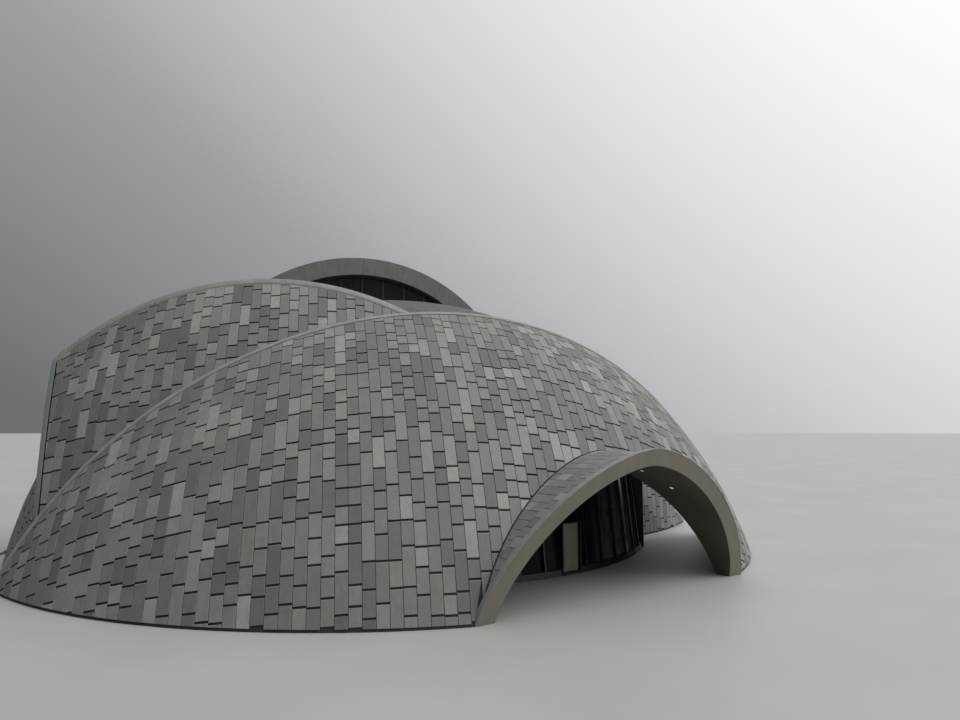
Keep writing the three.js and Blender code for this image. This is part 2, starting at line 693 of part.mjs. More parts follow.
addPiece("floor_slab", floorSlab(), "floor");
addPiece("roof_dome", roofDome(), "concrete");
addPiece("dome_ring_beam", ringBeam(), "concrete");
addPiece("crown_shell", crownShell(), "stone");
addPiece("crown_arch", crownArch(), "crown");
addPiece("crown_window_bars", crownBars(), "frame");
addPiece("crown_window_glass", crownGlass(), "glass");
addBothSides("front_shell", "rear_shell", frontShell(), "stone");
addBothSides("front_shell_rim", "rear_shell_rim", frontRim(), "coping");
addBothSides("entrance_arch", "rear_arch", entranceHood(), "hood");
addBothSides("front_link_wall", "rear_link_wall", linkWall(), "concrete");
addBothSides("left_shell", "right_shell", leftFace(), "stone");
addBothSides("left_shell_back_wall", "right_shell_back_wall", leftBackWall(), "concrete");
addBothSides("left_shell_side_wall", "right_shell_side_wall", leftSideWall(), "concrete");
addBothSides("left_shell_rim", "right_shell_rim", leftRim(), "coping");
addBothSides("left_shell_edge_trim", "right_shell_edge_trim", leftEdgeTrim(), "coping");
addBothSides("left_low_shell", "right_low_shell", lowShell(), "stone");
addBothSides("left_return_wall", "right_return_wall", returnWall(), "stone");
addBothSides("left_annex_roof", "right_annex_roof", annexRoof(), "concrete");
addBothSides("left_annex_wall", "right_annex_wall", annexSideWall(), "concrete");
addBothSides("front_porch_wall", "rear_porch_wall", porchWall(), "concrete");
addPiece("front_glass_wall", glassPanes(true), "glass");
addPiece("front_glass_frame", glassFrame(true), "frame");
addPiece("rear_glass_wall", glassPanes(false), "glass", true);
addPiece("rear_glass_frame", glassFrame(false), "frame", true);
addPiece("door_frame", doorFrame(), "frame");
addPiece("door_leaf", placedLeaf(), "door");

export default building;
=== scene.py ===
import math
import random

import bmesh
import bpy
from mathutils import Matrix, Vector

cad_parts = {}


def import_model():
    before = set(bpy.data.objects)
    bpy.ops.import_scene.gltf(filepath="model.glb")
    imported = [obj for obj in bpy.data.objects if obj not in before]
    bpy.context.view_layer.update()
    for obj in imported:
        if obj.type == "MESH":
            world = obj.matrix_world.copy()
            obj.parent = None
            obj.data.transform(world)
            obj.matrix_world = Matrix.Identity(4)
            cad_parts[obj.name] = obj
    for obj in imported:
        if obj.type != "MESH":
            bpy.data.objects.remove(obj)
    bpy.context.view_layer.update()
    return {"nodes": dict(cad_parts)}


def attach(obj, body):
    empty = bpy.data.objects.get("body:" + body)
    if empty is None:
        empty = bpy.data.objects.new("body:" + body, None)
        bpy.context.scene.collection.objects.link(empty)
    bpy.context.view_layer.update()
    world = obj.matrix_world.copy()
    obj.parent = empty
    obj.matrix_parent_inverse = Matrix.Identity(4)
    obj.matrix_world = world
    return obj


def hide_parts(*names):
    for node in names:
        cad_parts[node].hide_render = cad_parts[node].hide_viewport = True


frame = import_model()

# The shells, as they are in the solid model.
GAP = 0.0003
DOME_CENTRE = Vector((0.0, 0.0, -6.0))
DOME_RADIUS = 19.2
DOME_THICKNESS = 0.5
EAVES_HEIGHT = 8.0
EAVES_RADIUS = math.sqrt(DOME_RADIUS ** 2 - (EAVES_HEIGHT - DOME_CENTRE.z) ** 2)
SHELL_RADIUS = 19.94
FRONT_RIM = (-24.0, 15.6, -5.22)
LEFT_CENTRE = Vector((-5.383, 6.063, -0.397))
LEFT_INNER = 19.54
LEFT_RIM = (-2.95, 3.47, -14.17)
LEFT_SIDE = (63.81, 0.0, -14.68)
LOW_CENTRE = Vector((0.0, 0.0, -3.0))
LOW_RADIUS = 18.54
LOW_INNER = 18.14
RETURN_CENTRE = Vector((-0.82, -13.37, 0.0))
RETURN_RADIUS = 19.01
RETURN_INNER = 18.61
RETURN_TAIL_REACH = 2.24
RETURN_TAIL_SLOPE = 66.0
RIM_WIDTH = 0.2
RIM_RISE = 0.12
RIM_GROOVE = 0.012
LOW_TOP = 15.0
TAIL_OVERLAP = 0.1
HALL_MIDDLE = Vector((0.0, 0.0, 4.0))
LEFT_HALF = (Vector((1.0, 0.0, 0.0)), 0.0)

# The section of the coping on a shell: distance from the shell's edge, and height over its surface.
COPING_SECTION = ((RIM_WIDTH - RIM_GROOVE, 0.002), (RIM_WIDTH - RIM_GROOVE, 0.075),
                  (RIM_WIDTH - 0.02, 0.083), (RIM_WIDTH * 0.5, 0.094), (0.03, 0.1), (0.012, 0.096),
                  (0.0, 0.082), (-0.004, -0.04), (0.05, -0.045), (0.05, 0.002))

ARCH_BEARING = -55.0
ARCH_DISTANCE = 17.85
ARCH_SHIFT = 0.12
ARCH_LEAN = 0.29
ARCH_EXPONENT = 1.65
ARCH_INNER = (5.98, 5.0, -0.27)
ARCH_OUTER = (6.57, 5.6, -0.46)
ARCH_LIP = 0.2
ARCH_LIP_DEPTH = 0.23
ARCH_REACH = 2.5
ARCH_DEPTH = 4.0
HOOD_RIM = 0.03
HOOD_SLAB_DEPTH = 0.52
HOOD_SLAB_LENGTH = 0.42

LAMP_PLACES = ((55.8, 1.45), (71.3, 1.85), (108.7, 1.85), (124.2, 1.45))
LAMP_STEPS = 24
LAMP_SPAN = 0.02
LAMP_RING = ((0.085, -0.01), (0.085, 0.012), (0.1, 0.016), (0.13, 0.006), (0.13, -0.01))
LAMP_LENS = ((0.084, -0.008), (0.084, 0.002), (0.07, 0.006))

CROWN_CENTRE = Vector((-1.9, 0.17, 6.5))
CROWN_TURN = -16.4
CROWN_RADIUS = 9.55
CROWN_THICKNESS = 0.4
CROWN_FASCIA = 0.98
CROWN_FASCIA_DEPTH = 0.5
CROWN_WELL = 8.0
CROWN_WELL_START = 0.65
CROWN_FOOT = 5.0
FASCIA_RISE = 0.04
FASCIA_PANELS = 24
FASCIA_JOINT = 0.006
BLOCK_FOOT = -2.0
DRUM_FOOT = -1.0
MARGIN = 0.001
COVER_MARGIN = 0.003

# The stone slabs that clad the shells.
SLAB_WIDTH = 0.41
SLAB_LENGTHS = (0.63, 0.84, 1.26)
SLAB_RISE = 0.06
SLAB_THICKNESS = 0.04
SLAB_CHAMFER = 0.007
SLAB_TILT = 0.014
SLOT_HEIGHT = 0.074
SIDE_JOINT = 0.017
BASE_GAP = 0.10
LIP_TOP = 0.5
EDGE_GAP = 0.045
ARCH_GAP = 0.01
RIM_GAP = RIM_WIDTH + EDGE_GAP - RIM_GROOVE
TOP_GAP = 0.02
SLAB_LIFT = 0.002
SMALLEST_SLAB = 0.022
COLUMN_START = 1.2
COLUMN_LIMIT = 0.05
HOOD_SLAB_FOOT = 0.05
LEFT_SLAB_CLEARANCE = 0.05
CROWN_SLAB_CLEARANCE = 0.02
CROWN_SLAB_RISE = 0.03

# The columns of slabs on each shell: the direction that they run in, and how far out they go.
FRONT_COLUMNS = (-13.2, 19.5)
LEFT_COLUMNS = (-14.25, 16.0)
LOW_COLUMNS = (63.8, 16.0)
RETURN_COLUMNS = (160.0, 18.0)
CROWN_COLUMNS = (CROWN_TURN, 9.5)

# How far a slab's tone and tint move its pattern, and where the porch glass takes a paler painted
# reflection.
TONE_SHIFT = 61.0
TINT_SHIFT = 47.0
PORCH_GLASS_SIDE = (9.8, 12.2)

# The floor, the light and the camera.
FLOOR_RADIUS = 900.0
FLOOR_DROP = 0.002
FLOOR_STEPS = 96
SKY_STOPS = ((0.0, (0.16, 0.163, 0.166)), (0.28, (0.34, 0.346, 0.352)), (1.0, (1.25, 1.26, 1.27)))
SKY_RISE = 0.6
SKY_BASE = 0.25
SKY_TIP = 0.5
SUN_ENERGY = 1.5
SUN_WIDTH = 50.0
SUN_FROM = Vector((0.55, -0.25, 0.8))
CAMERA_PLACE = (5.0, -40.3, 6.05)
CAMERA_PITCH = 5.59
CAMERA_FOCUS = 695.0
CAMERA_REACH = 2000.0
PICTURE_WIDTH = 960.0
SENSOR_WIDTH = 36.0

ROUND_STEPS = 192
FINE_STEPS = 240
BLOCK_SIZE = 80.0
UP = Vector((0.0, 0.0, 1.0))


# Directions and half-spaces. A half-space (normal, limit) keeps the points with point . normal <= limit.

def direction(turn, tilt=0.0):
    level = math.cos(math.radians(tilt))
    turned = math.radians(turn)
    return Vector((math.sin(turned) * level, math.cos(turned) * level, math.sin(math.radians(tilt))))


def before(plane, centre, inset=0.0):
    turn, tilt, offset = plane
    normal = direction(turn, tilt)
    return normal, centre.dot(normal) + offset - inset


def beyond(plane, centre, inset=0.0):
    turn, tilt, offset = plane
    normal = direction(turn, tilt)
    return -normal, -(centre.dot(normal) + offset + inset)


def above(height):
    return -UP, -height


def below(height):
    return UP.copy(), height


# Solids with fine steps, joined and cut by booleans.

def new_object(name, mesh):
    piece = bpy.data.objects.new(name, mesh)
    bpy.context.scene.collection.objects.link(piece)
    return piece


def from_bmesh(name, bm):
    mesh = bpy.data.meshes.new(name)
    bm.to_mesh(mesh)
    bm.free()
    return new_object(name, mesh)


def frame_about(axis):
    side = axis.orthogonal().normalized()
    if abs(axis.z) < 0.99:
        side = axis.cross(UP).normalized()
    return side, axis.cross(side).normalized()


def lathe(name, profile, centre, axis, steps=ROUND_STEPS):
    """A solid of revolution: profile is a closed outline of (along the axis, distance from it)."""
    side, other = frame_about(axis)
    bm = bmesh.new()
    rings = []
    for along, across in profile:
        if across < 1e-6:
            rings.append([bm.verts.new(centre + axis * along)] * steps)
            continue
        ring = []
        for step in range(steps):
            angle = 2.0 * math.pi * step / steps
            ring.append(bm.verts.new(centre + axis * along
                                     + (side * math.cos(angle) + other * math.sin(angle)) * across))
        rings.append(ring)
    for index, ring in enumerate(rings):
        following = rings[(index + 1) % len(rings)]
        for step in range(steps):
            after = (step + 1) % steps
            corners = []
            for vert in (ring[step], ring[after], following[after], following[step]):
                if vert not in corners:
                    corners.append(vert)
            if len(corners) > 2:
                bm.faces.new(corners)
    bmesh.ops.recalc_face_normals(bm, faces=bm.faces)
    return from_bmesh(name, bm)


def skin(bm, rings, closed=False):
    """Faces between rings with as many points each, and caps on the two ends where they aren't closed."""
    for ring, following in zip(rings, rings[1:] + rings[:1] if closed else rings[1:]):
        for index in range(len(ring)):
            bm.faces.new((ring[index - 1], ring[index], following[index], following[index - 1]))
    if not closed:
        bm.faces.new(rings[0])
        bm.faces.new(list(reversed(rings[-1])))


def arc(radius, start, end, steps):
    """Points (along, across) of a circle about the centre, by angle from the axis, in degrees."""
    points = []
    for step in range(steps + 1):
        angle = math.radians(start + (end - start) * step / steps)
        points.append((radius * math.cos(angle), max(0.0, radius * math.sin(angle))))
    return points


def block():
    bm = bmesh.new()
    bmesh.ops.create_cube(bm, size=BLOCK_SIZE)
    return from_bmesh("block", bm)


def combine(piece, other, operation="DIFFERENCE"):
    """Cuts, joins or intersects a piece with another solid, which is removed."""
    modifier = piece.modifiers.new("cut", "BOOLEAN")
    modifier.operation = operation
    modifier.solver = "MANIFOLD"
    modifier.object = other
    depsgraph = bpy.context.evaluated_depsgraph_get()
    mesh = bpy.data.meshes.new_from_object(piece.evaluated_get(depsgraph))
    piece.modifiers.clear()
    old = piece.data
    piece.data = mesh
    bpy.data.meshes.remove(old)
    data = other.data
    bpy.data.objects.remove(other)
    bpy.data.meshes.remove(data)
    return piece


def keep(piece, *planes):
    """Cuts a solid to half-spaces, each as the side of a large block."""
    for normal, limit in planes:
        cutter = block()
        turn = UP.rotation_difference(normal).to_matrix().to_4x4()
        cutter.data.transform(Matrix.Translation(normal * (limit + BLOCK_SIZE / 2.0)) @ turn)
        combine(piece, cutter)
    return piece


def cap_shell(name, centre, outer, inner, rim, steps=ROUND_STEPS, rows=40):
    """The part of a hollow sphere before a rim plane, as a body of revolution about its normal."""
    turn, tilt, offset = rim
    axis = direction(turn, tilt)
    outer_end = math.degrees(math.acos(offset / outer))
    inner_end = math.degrees(math.acos(offset / inner))
    profile = arc(outer, 180.0, outer_end, rows) + arc(inner, inner_end, 180.0, rows)
    return lathe(name, profile, centre, axis, steps)


def solid_cap(name, centre, radius, rim, steps=ROUND_STEPS, rows=40):
    turn, tilt, offset = rim
    axis = direction(turn, tilt)
    end = math.degrees(math.acos(offset / radius))
    profile = arc(radius, 180.0, end, rows) + [(offset, 0.0)]
    return lathe(name, profile, centre, axis, steps)


def zone(name, centre, outer, inner, low, high, steps=ROUND_STEPS, rows=14):
    """The part of a hollow sphere between two heights."""
    def angle(radius, height):
        return math.degrees(math.acos((height - centre.z) / radius))
    profile = arc(outer, angle(outer, low), angle(outer, high), rows)
    profile += arc(inner, angle(inner, high), angle(inner, low), rows)
    return lathe(name, profile, centre, UP, steps)


def ball_end(name, centre, axis, radius, start, rows, steps):
    """The part of a ball beyond a plane, which lies a distance along the axis."""
    end = math.degrees(math.acos(start / radius))
    return lathe(name, arc(radius, 0.0, end, rows) + [(start, 0.0)], centre, axis, steps)


def dome_profile(outer, inner, start, rows):
    """The section of a hollow ball beyond such a plane."""
    profile = arc(outer, 0.0, math.degrees(math.acos(start / outer)), rows)
    return profile + arc(inner, math.degrees(math.acos(start / inner)), 0.0, rows)


def roof_block(radius, low):
    """All that lies inside the roof's sphere above a height."""
    return ball_end("roof_block", DOME_CENTRE, UP, radius, low - DOME_CENTRE.z, 48, FINE_STEPS)


def core_block():
    """What the roof dome and the hall below it take up."""
    core = roof_block(DOME_RADIUS + GAP, EAVES_HEIGHT - MARGIN)
    radius = EAVES_RADIUS + GAP
    outline = [(DRUM_FOOT, 0.0), (DRUM_FOOT, radius), (EAVES_HEIGHT, radius), (EAVES_HEIGHT, 0.0)]
    drum = lathe("drum", outline, Vector((0.0, 0.0, 0.0)), UP, FINE_STEPS)
    return combine(core, drum, "UNION")


def arch_barrel(curve, grow, steps=160):
    """A level prism that fills the arch, from before its front to its back."""
    out, along, origin = arch_axes()
    rows = []
    bm = bmesh.new()
    for depth in (-ARCH_REACH, ARCH_DEPTH):
        row = []
        for step in range(steps + 1):
            across, height = arch_curve(curve, grow, math.pi * step / steps)
            row.append(bm.verts.new(origin + along * across + UP * height - out * depth))
        rows.append(row)
    skin(bm, rows)
    bmesh.ops.recalc_face_normals(bm, faces=bm.faces)
    return from_bmesh("barrel", bm)


def round_block(centre, radius, steps=ROUND_STEPS):
    return lathe("round_block", arc(radius, 0.0, 180.0, steps // 2), centre, UP, steps)


def largest(piece):
    """Keeps the largest of a solid's separate bodies."""
    bm = bmesh.new()
    bm.from_mesh(piece.data)
    bm.verts.ensure_lookup_table()
    unseen = set(bm.verts)
    islands = []
    while unseen:
        stack = [unseen.pop()]
        island = set(stack)
        while stack:
            for edge in stack.pop().link_edges:
                for vert in edge.verts:
                    if vert in unseen:
                        unseen.discard(vert)
                        island.add(vert)
                        stack.append(vert)
        islands.append(island)
    islands.sort(key=len)
    doomed = [vert for island in islands[:-1] for vert in island]
    bmesh.ops.delete(bm, geom=doomed, context="VERTS")
    bm.to_mesh(piece.data)
    bm.free()
    return piece


def smooth(piece, angle=24.0):
    for polygon in piece.data.polygons:
        polygon.use_smooth = True
    piece.data.set_sharp_from_angle(angle=math.radians(angle))
    return piece


# The slabs. They lie in columns between upright planes. A field is a function of a point that is positive
# where slabs are cut away.

def clip(polygon, planes):
    for normal, limit in planes:
        kept = []
        for index, point in enumerate(polygon):
            last = polygon[index - 1]
            last_value = last.dot(normal) - limit
            value = point.dot(normal) - limit
            if (last_value <= 0.0) != (value <= 0.0):
                kept.append(last.lerp(point, last_value / (last_value - value)))
            if value <= 0.0:
                kept.append(point)
        polygon = kept
        if len(polygon) < 3:
            return []
    return polygon


def clip_round(polygon, field):
    """Cuts away where the field is positive, along the tangent at the middle of the cut."""
    values = [field(point) for point in polygon]
    if max(values) <= 0.0:
        return polygon
    if min(values) > 0.0:
        return []
    crossings = []
    for index, point in enumerate(polygon):
        if (values[index - 1] <= 0.0) != (values[index] <= 0.0):
            share = values[index - 1] / (values[index - 1] - values[index])
            crossings.append(polygon[index - 1].lerp(point, share))
    middle = sum(crossings, Vector()) / len(crossings)
    step = 0.01
    gradient = Vector([field(middle + step * unit) - field(middle - step * unit)
                       for unit in (Vector((1, 0, 0)), Vector((0, 1, 0)), Vector((0, 0, 1)))])
    gradient.normalize()
    return clip(polygon, [(gradient, middle.dot(gradient) - field(middle))])


def outside_ball(centre, radius):
    """A field that is positive inside a ball, so that the cut keeps what lies outside."""
    return lambda point: radius - (point - centre).length


def inside_ball(centre, radius):
    return lambda point: (point - centre).length - radius


def arch_axes():
    angle = math.radians(ARCH_BEARING)
    out = Vector((math.cos(angle), math.sin(angle), 0.0))
    along = Vector((-math.sin(angle), math.cos(angle), 0.0))
    return out, along, out * ARCH_DISTANCE + along * ARCH_SHIFT


def arch_curve(curve, grow, angle):
    """The place along the arch's width and the height of its curve, grown by a margin."""
    half_width, rise, base = curve
    across = math.copysign(abs(math.cos(angle)) ** (2.0 / ARCH_EXPONENT), math.cos(angle))
    up = max(math.sin(angle), 0.0) ** (2.0 / ARCH_EXPONENT)
    return (half_width + grow) * across, base + (rise + grow) * up


def arch_point(curve, grow, angle, depth):
    """A point of the arch's barrel, at a level depth behind its leaning front."""
    out, along, origin = arch_axes()
    across, height = arch_curve(curve, grow, angle)
    return origin + along * across + UP * height + out * (ARCH_LEAN * height - depth)


def arch_front(depth=0.0):
    """The half-space behind the leaning front of the arch, or behind a plane at a level depth from it."""
    out = arch_axes()[0]
    slope = math.hypot(1.0, ARCH_LEAN)
    return (out - UP * ARCH_LEAN) / slope, (ARCH_DISTANCE - depth) / slope


def outside_arch(margin):
    """A field that is positive inside the arch, and inside its lip near the ground."""
    _, along, origin = arch_axes()
    half_width, rise, base = ARCH_OUTER

    def field(point):
        offset = point - origin
        grow = margin + (ARCH_LIP if point.z < LIP_TOP else SLAB_RISE)
        across = abs(offset.dot(along)) / (half_width + grow)
        up = max(offset.z - base, 0.0) / (rise + grow)
        reach = (across ** ARCH_EXPONENT + up ** ARCH_EXPONENT) ** (1.0 / ARCH_EXPONENT)
        return half_width * (1.0 - reach)
    return field


class Slabs:
    """Collects closed stone slabs into one mesh, each with a tone and a tint of its own."""

    def __init__(self, seed, tones=(0.0, 1.0)):
        self.random = random.Random(seed)
        self.tone_range = tones
        self.verts = []
        self.faces = []
        self.tones = []
        self.tints = []
        self.edges = []

    def add(self, polygon, outward, chamfer=SLAB_CHAMFER, thickness=SLAB_THICKNESS):
        centre = sum(polygon, Vector()) / len(polygon)
        count = len(polygon)
        inner = min(self.edge_distance(centre, polygon[index - 1], polygon[index])
                    for index in range(count))
        tone = self.random.uniform(*self.tone_range)
        tint = self.random.random()
        tilt = Vector([self.random.uniform(-1.0, 1.0) for _ in range(3)]) * SLAB_TILT
        lift = self.random.uniform(-SLAB_LIFT, SLAB_LIFT)
        if inner < SMALLEST_SLAB:
            return
        shrink = 1.0 - chamfer / inner
        start = len(self.verts)
        for depth, scale in ((0.0, shrink), (-chamfer, 1.0), (-thickness, 1.0)):
            for point in polygon:
                place = centre + (point - centre) * scale
                height = depth + lift + (place - centre).dot(tilt)
                self.verts.append(place + outward * height)
        self.face(range(start, start + count), tone, tint, 0.0)
        for level in (0, 1):
            for index in range(count):
                first = start + level * count + (index - 1) % count
                second = start + level * count + index
                self.face((first, first + count, second + count, second), tone, tint, 1.0 - 0.5 * level)
        self.face(reversed(range(start + 2 * count, start + 3 * count)), tone, tint, 0.5)

    @staticmethod
    def edge_distance(point, first, second):
        span = second - first
        if span.length < 1e-6:
            return 1e3
        return (point - first).cross(span).length / span.length

    def face(self, corners, tone, tint, edge):
        self.faces.append(tuple(corners))
        self.tones.append(tone)
        self.tints.append(tint)
        self.edges.append(edge)

    def build(self, name):
        mesh = bpy.data.meshes.new(name)
        mesh.from_pydata([tuple(vert) for vert in self.verts], [], self.faces)
        for label, values in (("tone", self.tones), ("tint", self.tints), ("edge", self.edges)):
            attribute = mesh.attributes.new(label, "FLOAT", "FACE")
            attribute.data.foreach_set("value", values)
        mesh.update()
        return new_object(name, mesh)


def slab_field(name, seed, centre, radius, columns, planes, fields=(), low_angle=-30.0,
               high_angle=210.0, tones=(0.0, 1.0)):
    """Slabs on a sphere: the columns run along a direction and up over the sphere."""
    turn, span = columns
    run = -direction(turn)
    across = Vector((-run.y, run.x, 0.0))
    slabs = Slabs(seed, tones)
    first = math.floor(-span / SLAB_WIDTH)
    last = math.ceil(span / SLAB_WIDTH)
    for column in range(first, last):
        left = column * SLAB_WIDTH
        right = left + SLAB_WIDTH
        widest = max(abs(left), abs(right))
        if widest > radius - COLUMN_LIMIT:
            continue
        left += SIDE_JOINT / 2.0
        right -= SIDE_JOINT / 2.0
        circle = math.sqrt(radius ** 2 - ((left + right) / 2.0) ** 2)
        angle = math.radians(low_angle) + slabs.random.random() * COLUMN_START / circle
        while angle < math.radians(high_angle):
            length = slabs.random.choice(SLAB_LENGTHS)
            start = angle + SLOT_HEIGHT / 2.0 / circle
            end = angle + (length - SLOT_HEIGHT / 2.0) / circle
            angle += length / circle
            polygon = []
            for offset, turned in ((left, start), (right, start), (right, end), (left, end)):
                reach = math.sqrt(radius ** 2 - offset ** 2)
                polygon.append(centre + across * offset
                               + (run * math.cos(turned) + UP * math.sin(turned)) * reach)
            middle = sum(polygon, Vector()) / 4.0
            outward = (middle - centre).normalized()
            polygon = clip(polygon, planes)
            for field in fields:
                if polygon:
                    polygon = clip_round(polygon, field)
            if polygon:
                slabs.add(polygon, outward)
    return slabs.build(name)


# Materials.

class Look:
    """A procedural material: a shader and the nodes that feed it."""

    def __init__(self, name, roughness=0.6, metallic=0.0, specular=0.5):
        self.material = bpy.data.materials.new(name)
        self.material.use_nodes = True
        self.tree = self.material.node_tree
        self.shader = self.tree.nodes["Principled BSDF"]
        self.shader.inputs["Roughness"].default_value = roughness
        self.shader.inputs["Metallic"].default_value = metallic
        self.shader.inputs["Specular IOR Level"].default_value = specular
        self.coordinates = self.tree.nodes.new("ShaderNodeTexCoord")

    def link(self, output, target):
        self.tree.links.new(output, target)

    def stretched(self, scale):
        mapping = self.tree.nodes.new("ShaderNodeMapping")
        mapping.inputs["Scale"].default_value = scale
        self.link(self.coordinates.outputs["Object"], mapping.inputs["Vector"])
        return mapping.outputs["Vector"]

    def noise(self, scale, detail=4.0, rough=0.55, vector=None, offset=None):
        node = self.tree.nodes.new("ShaderNodeTexNoise")
        node.inputs["Scale"].default_value = scale
        node.inputs["Detail"].default_value = detail
        node.inputs["Roughness"].default_value = rough
        vector = vector or self.coordinates.outputs["Object"]
        if offset is not None:
            add = self.tree.nodes.new("ShaderNodeVectorMath")
            add.operation = "ADD"
            self.link(vector, add.inputs[0])
            self.link(offset, add.inputs[1])
            vector = add.outputs["Vector"]
        self.link(vector, node.inputs["Vector"])
        return node.outputs["Fac"]

    def attribute(self, name):
        node = self.tree.nodes.new("ShaderNodeAttribute")
        node.attribute_name = name
        return node.outputs["Fac"]

    def spread(self, value, low, high, to_low=0.0, to_high=1.0):
        node = self.tree.nodes.new("ShaderNodeMapRange")
        for label, number in (("From Min", low), ("From Max", high), ("To Min", to_low),
                              ("To Max", to_high)):
            node.inputs[label].default_value = number
        self.link(value, node.inputs["Value"])
        return node.outputs["Result"]

    def math(self, operation, first, second):
        node = self.tree.nodes.new("ShaderNodeMath")
        node.operation = operation
        for socket, value in zip(node.inputs, (first, second)):
            if isinstance(value, (int, float)):
                socket.default_value = value
            else:
                self.link(value, socket)
        return node.outputs["Value"]

    def ramp(self, value, stops):
        node = self.tree.nodes.new("ShaderNodeValToRGB")
        elements = node.color_ramp.elements
        elements[0].position, elements[0].color = stops[0][0], (*stops[0][1], 1.0)
        elements[1].position, elements[1].color = stops[-1][0], (*stops[-1][1], 1.0)
        for position, color in stops[1:-1]:
            elements.new(position).color = (*color, 1.0)
        self.link(value, node.inputs["Fac"])
        return node.outputs["Color"]

    def mix(self, factor, first, second, blend="MIX"):
        node = self.tree.nodes.new("ShaderNodeMix")
        node.data_type = "RGBA"
        node.blend_type = blend
        for label, value in (("Factor_Float", factor), ("A_Color", first), ("B_Color", second)):
            socket = next(item for item in node.inputs if item.identifier == label)
            if isinstance(value, (int, float)):
                socket.default_value = value
            elif isinstance(value, tuple):
                socket.default_value = (*value, 1.0)
            else:
                self.link(value, socket)
        return next(item for item in node.outputs if item.identifier == "Result_Color")

    def color(self, value):
        self.link(value, self.shader.inputs["Base Color"])

    def rough(self, value):
        self.link(value, self.shader.inputs["Roughness"])

    def bump(self, height, strength, distance):
        node = self.tree.nodes.new("ShaderNodeBump")
        node.inputs["Strength"].default_value = strength
        node.inputs["Distance"].default_value = distance
        self.link(height, node.inputs["Height"])
        self.link(node.outputs["Normal"], self.shader.inputs["Normal"])


def stone_look():
    look = Look("stone_slabs", specular=0.5)
    tone = look.attribute("tone")
    tint = look.attribute("tint")
    edge = look.attribute("edge")
    shift = look.tree.nodes.new("ShaderNodeCombineXYZ")
    look.link(look.math("MULTIPLY", tone, TONE_SHIFT), shift.inputs["X"])
    look.link(look.math("MULTIPLY", tint, TINT_SHIFT), shift.inputs["Y"])
    offset = shift.outputs["Vector"]
    base = look.ramp(tone, [(0.0, (0.085, 0.087, 0.08)), (0.25, (0.118, 0.12, 0.111)),
                            (0.6, (0.152, 0.155, 0.144)), (0.9, (0.205, 0.207, 0.195)),
                            (1.0, (0.26, 0.26, 0.246))])
    hue = look.ramp(tint, [(0.0, (0.515, 0.497, 0.468)), (0.35, (0.502, 0.5, 0.478)),
                           (0.7, (0.493, 0.503, 0.48)), (1.0, (0.5, 0.497, 0.495))])
    base = look.mix(0.8, base, hue, "OVERLAY")
    cloud = look.noise(2.2, 4.0, 0.55, offset=offset)
    streak = look.noise(1.0, 4.0, 0.6, vector=look.stretched((9.0, 9.0, 0.7)), offset=offset)
    grain = look.noise(70.0, 3.0, 0.7)
    shade = look.math("ADD", look.math("MULTIPLY", cloud, 0.5), look.math("MULTIPLY", streak, 0.5))
    share = look.spread(shade, 0.3, 0.7, 0.0, 1.0)
    base = look.mix(share, look.mix(1.0, base, (0.82, 0.82, 0.82), "MULTIPLY"),
                    look.mix(1.0, base, (1.16, 1.16, 1.15), "MULTIPLY"))
    base = look.mix(look.spread(grain, 0.35, 0.7, 0.0, 0.35), base, (0.09, 0.09, 0.088))
    # The chamfers take a paler colour: a painted highlight along the slab edges.
    base = look.mix(look.spread(edge, 0.5, 1.0, 0.0, 0.25), base, (0.3, 0.3, 0.29))
    look.color(base)
    look.rough(look.spread(look.math("ADD", grain, cloud), 0.6, 1.4, 0.5, 0.74))
    look.bump(look.math("ADD", grain, look.math("MULTIPLY", cloud, 2.0)), 0.35, 0.004)
    return look.material


def concrete_look(name, dark, light, scale=0.8, roughness=0.7, painted_shade=None):
    """Bare concrete. Faces that are marked take a second, darker colour, which is painted shade."""
    look = Look(name)
    cloud = look.noise(scale, 6.0, 0.6)
    stain = look.noise(1.0, 5.0, 0.6, vector=look.stretched((3.5, 3.5, 0.35)))
    pores = look.noise(55.0, 2.0, 0.5)
    grain = look.noise(240.0, 2.0, 0.6)
    blend = look.math("ADD", look.math("MULTIPLY", cloud, 0.6), look.math("MULTIPLY", stain, 0.4))
    base = look.ramp(blend, [(0.32, dark), (0.68, light)])
    base = look.mix(look.spread(pores, 0.62, 0.72, 0.0, 0.5), base, tuple(value * 0.45 for value in dark))
    base = look.mix(look.spread(grain, 0.3, 0.8, 0.0, 0.2), base, tuple(value * 1.25 for value in light))
    if painted_shade:
        # The marked faces take this darker colour as painted shade.
        shade_colour = look.ramp(cloud, [(0.3, tuple(value * 0.6 for value in painted_shade)), (0.7, painted_shade)])
        base = look.mix(look.attribute("painted_shade"), base, shade_colour)
    look.color(base)
    look.rough(look.spread(cloud, 0.3, 0.7, roughness - 0.08, roughness + 0.1))
    pits = look.math("MULTIPLY", look.spread(pores, 0.6, 0.72), 3.0)
    look.bump(look.math("SUBTRACT", grain, pits), 0.3, 0.003)
    return look.material


def metal_look(name, color, roughness, metallic):
    look = Look(name, roughness, metallic)
    smudge = look.noise(1.6, 5.0, 0.6)
    dirt = look.noise(1.0, 4.0, 0.6, vector=look.stretched((5.0, 5.0, 0.5)))
    base = look.ramp(look.math("ADD", look.math("MULTIPLY", smudge, 0.5), look.math("MULTIPLY", dirt, 0.5)),
                     [(0.3, tuple(value * 0.72 for value in color)), (0.5, color),
                      (0.72, tuple(value * 1.22 for value in color))])
    look.color(base)
    look.rough(look.spread(look.noise(9.0, 4.0), 0.3, 0.7, roughness - 0.08, roughness + 0.12))
    look.bump(look.noise(120.0, 2.0), 0.12, 0.001)
    return look.material


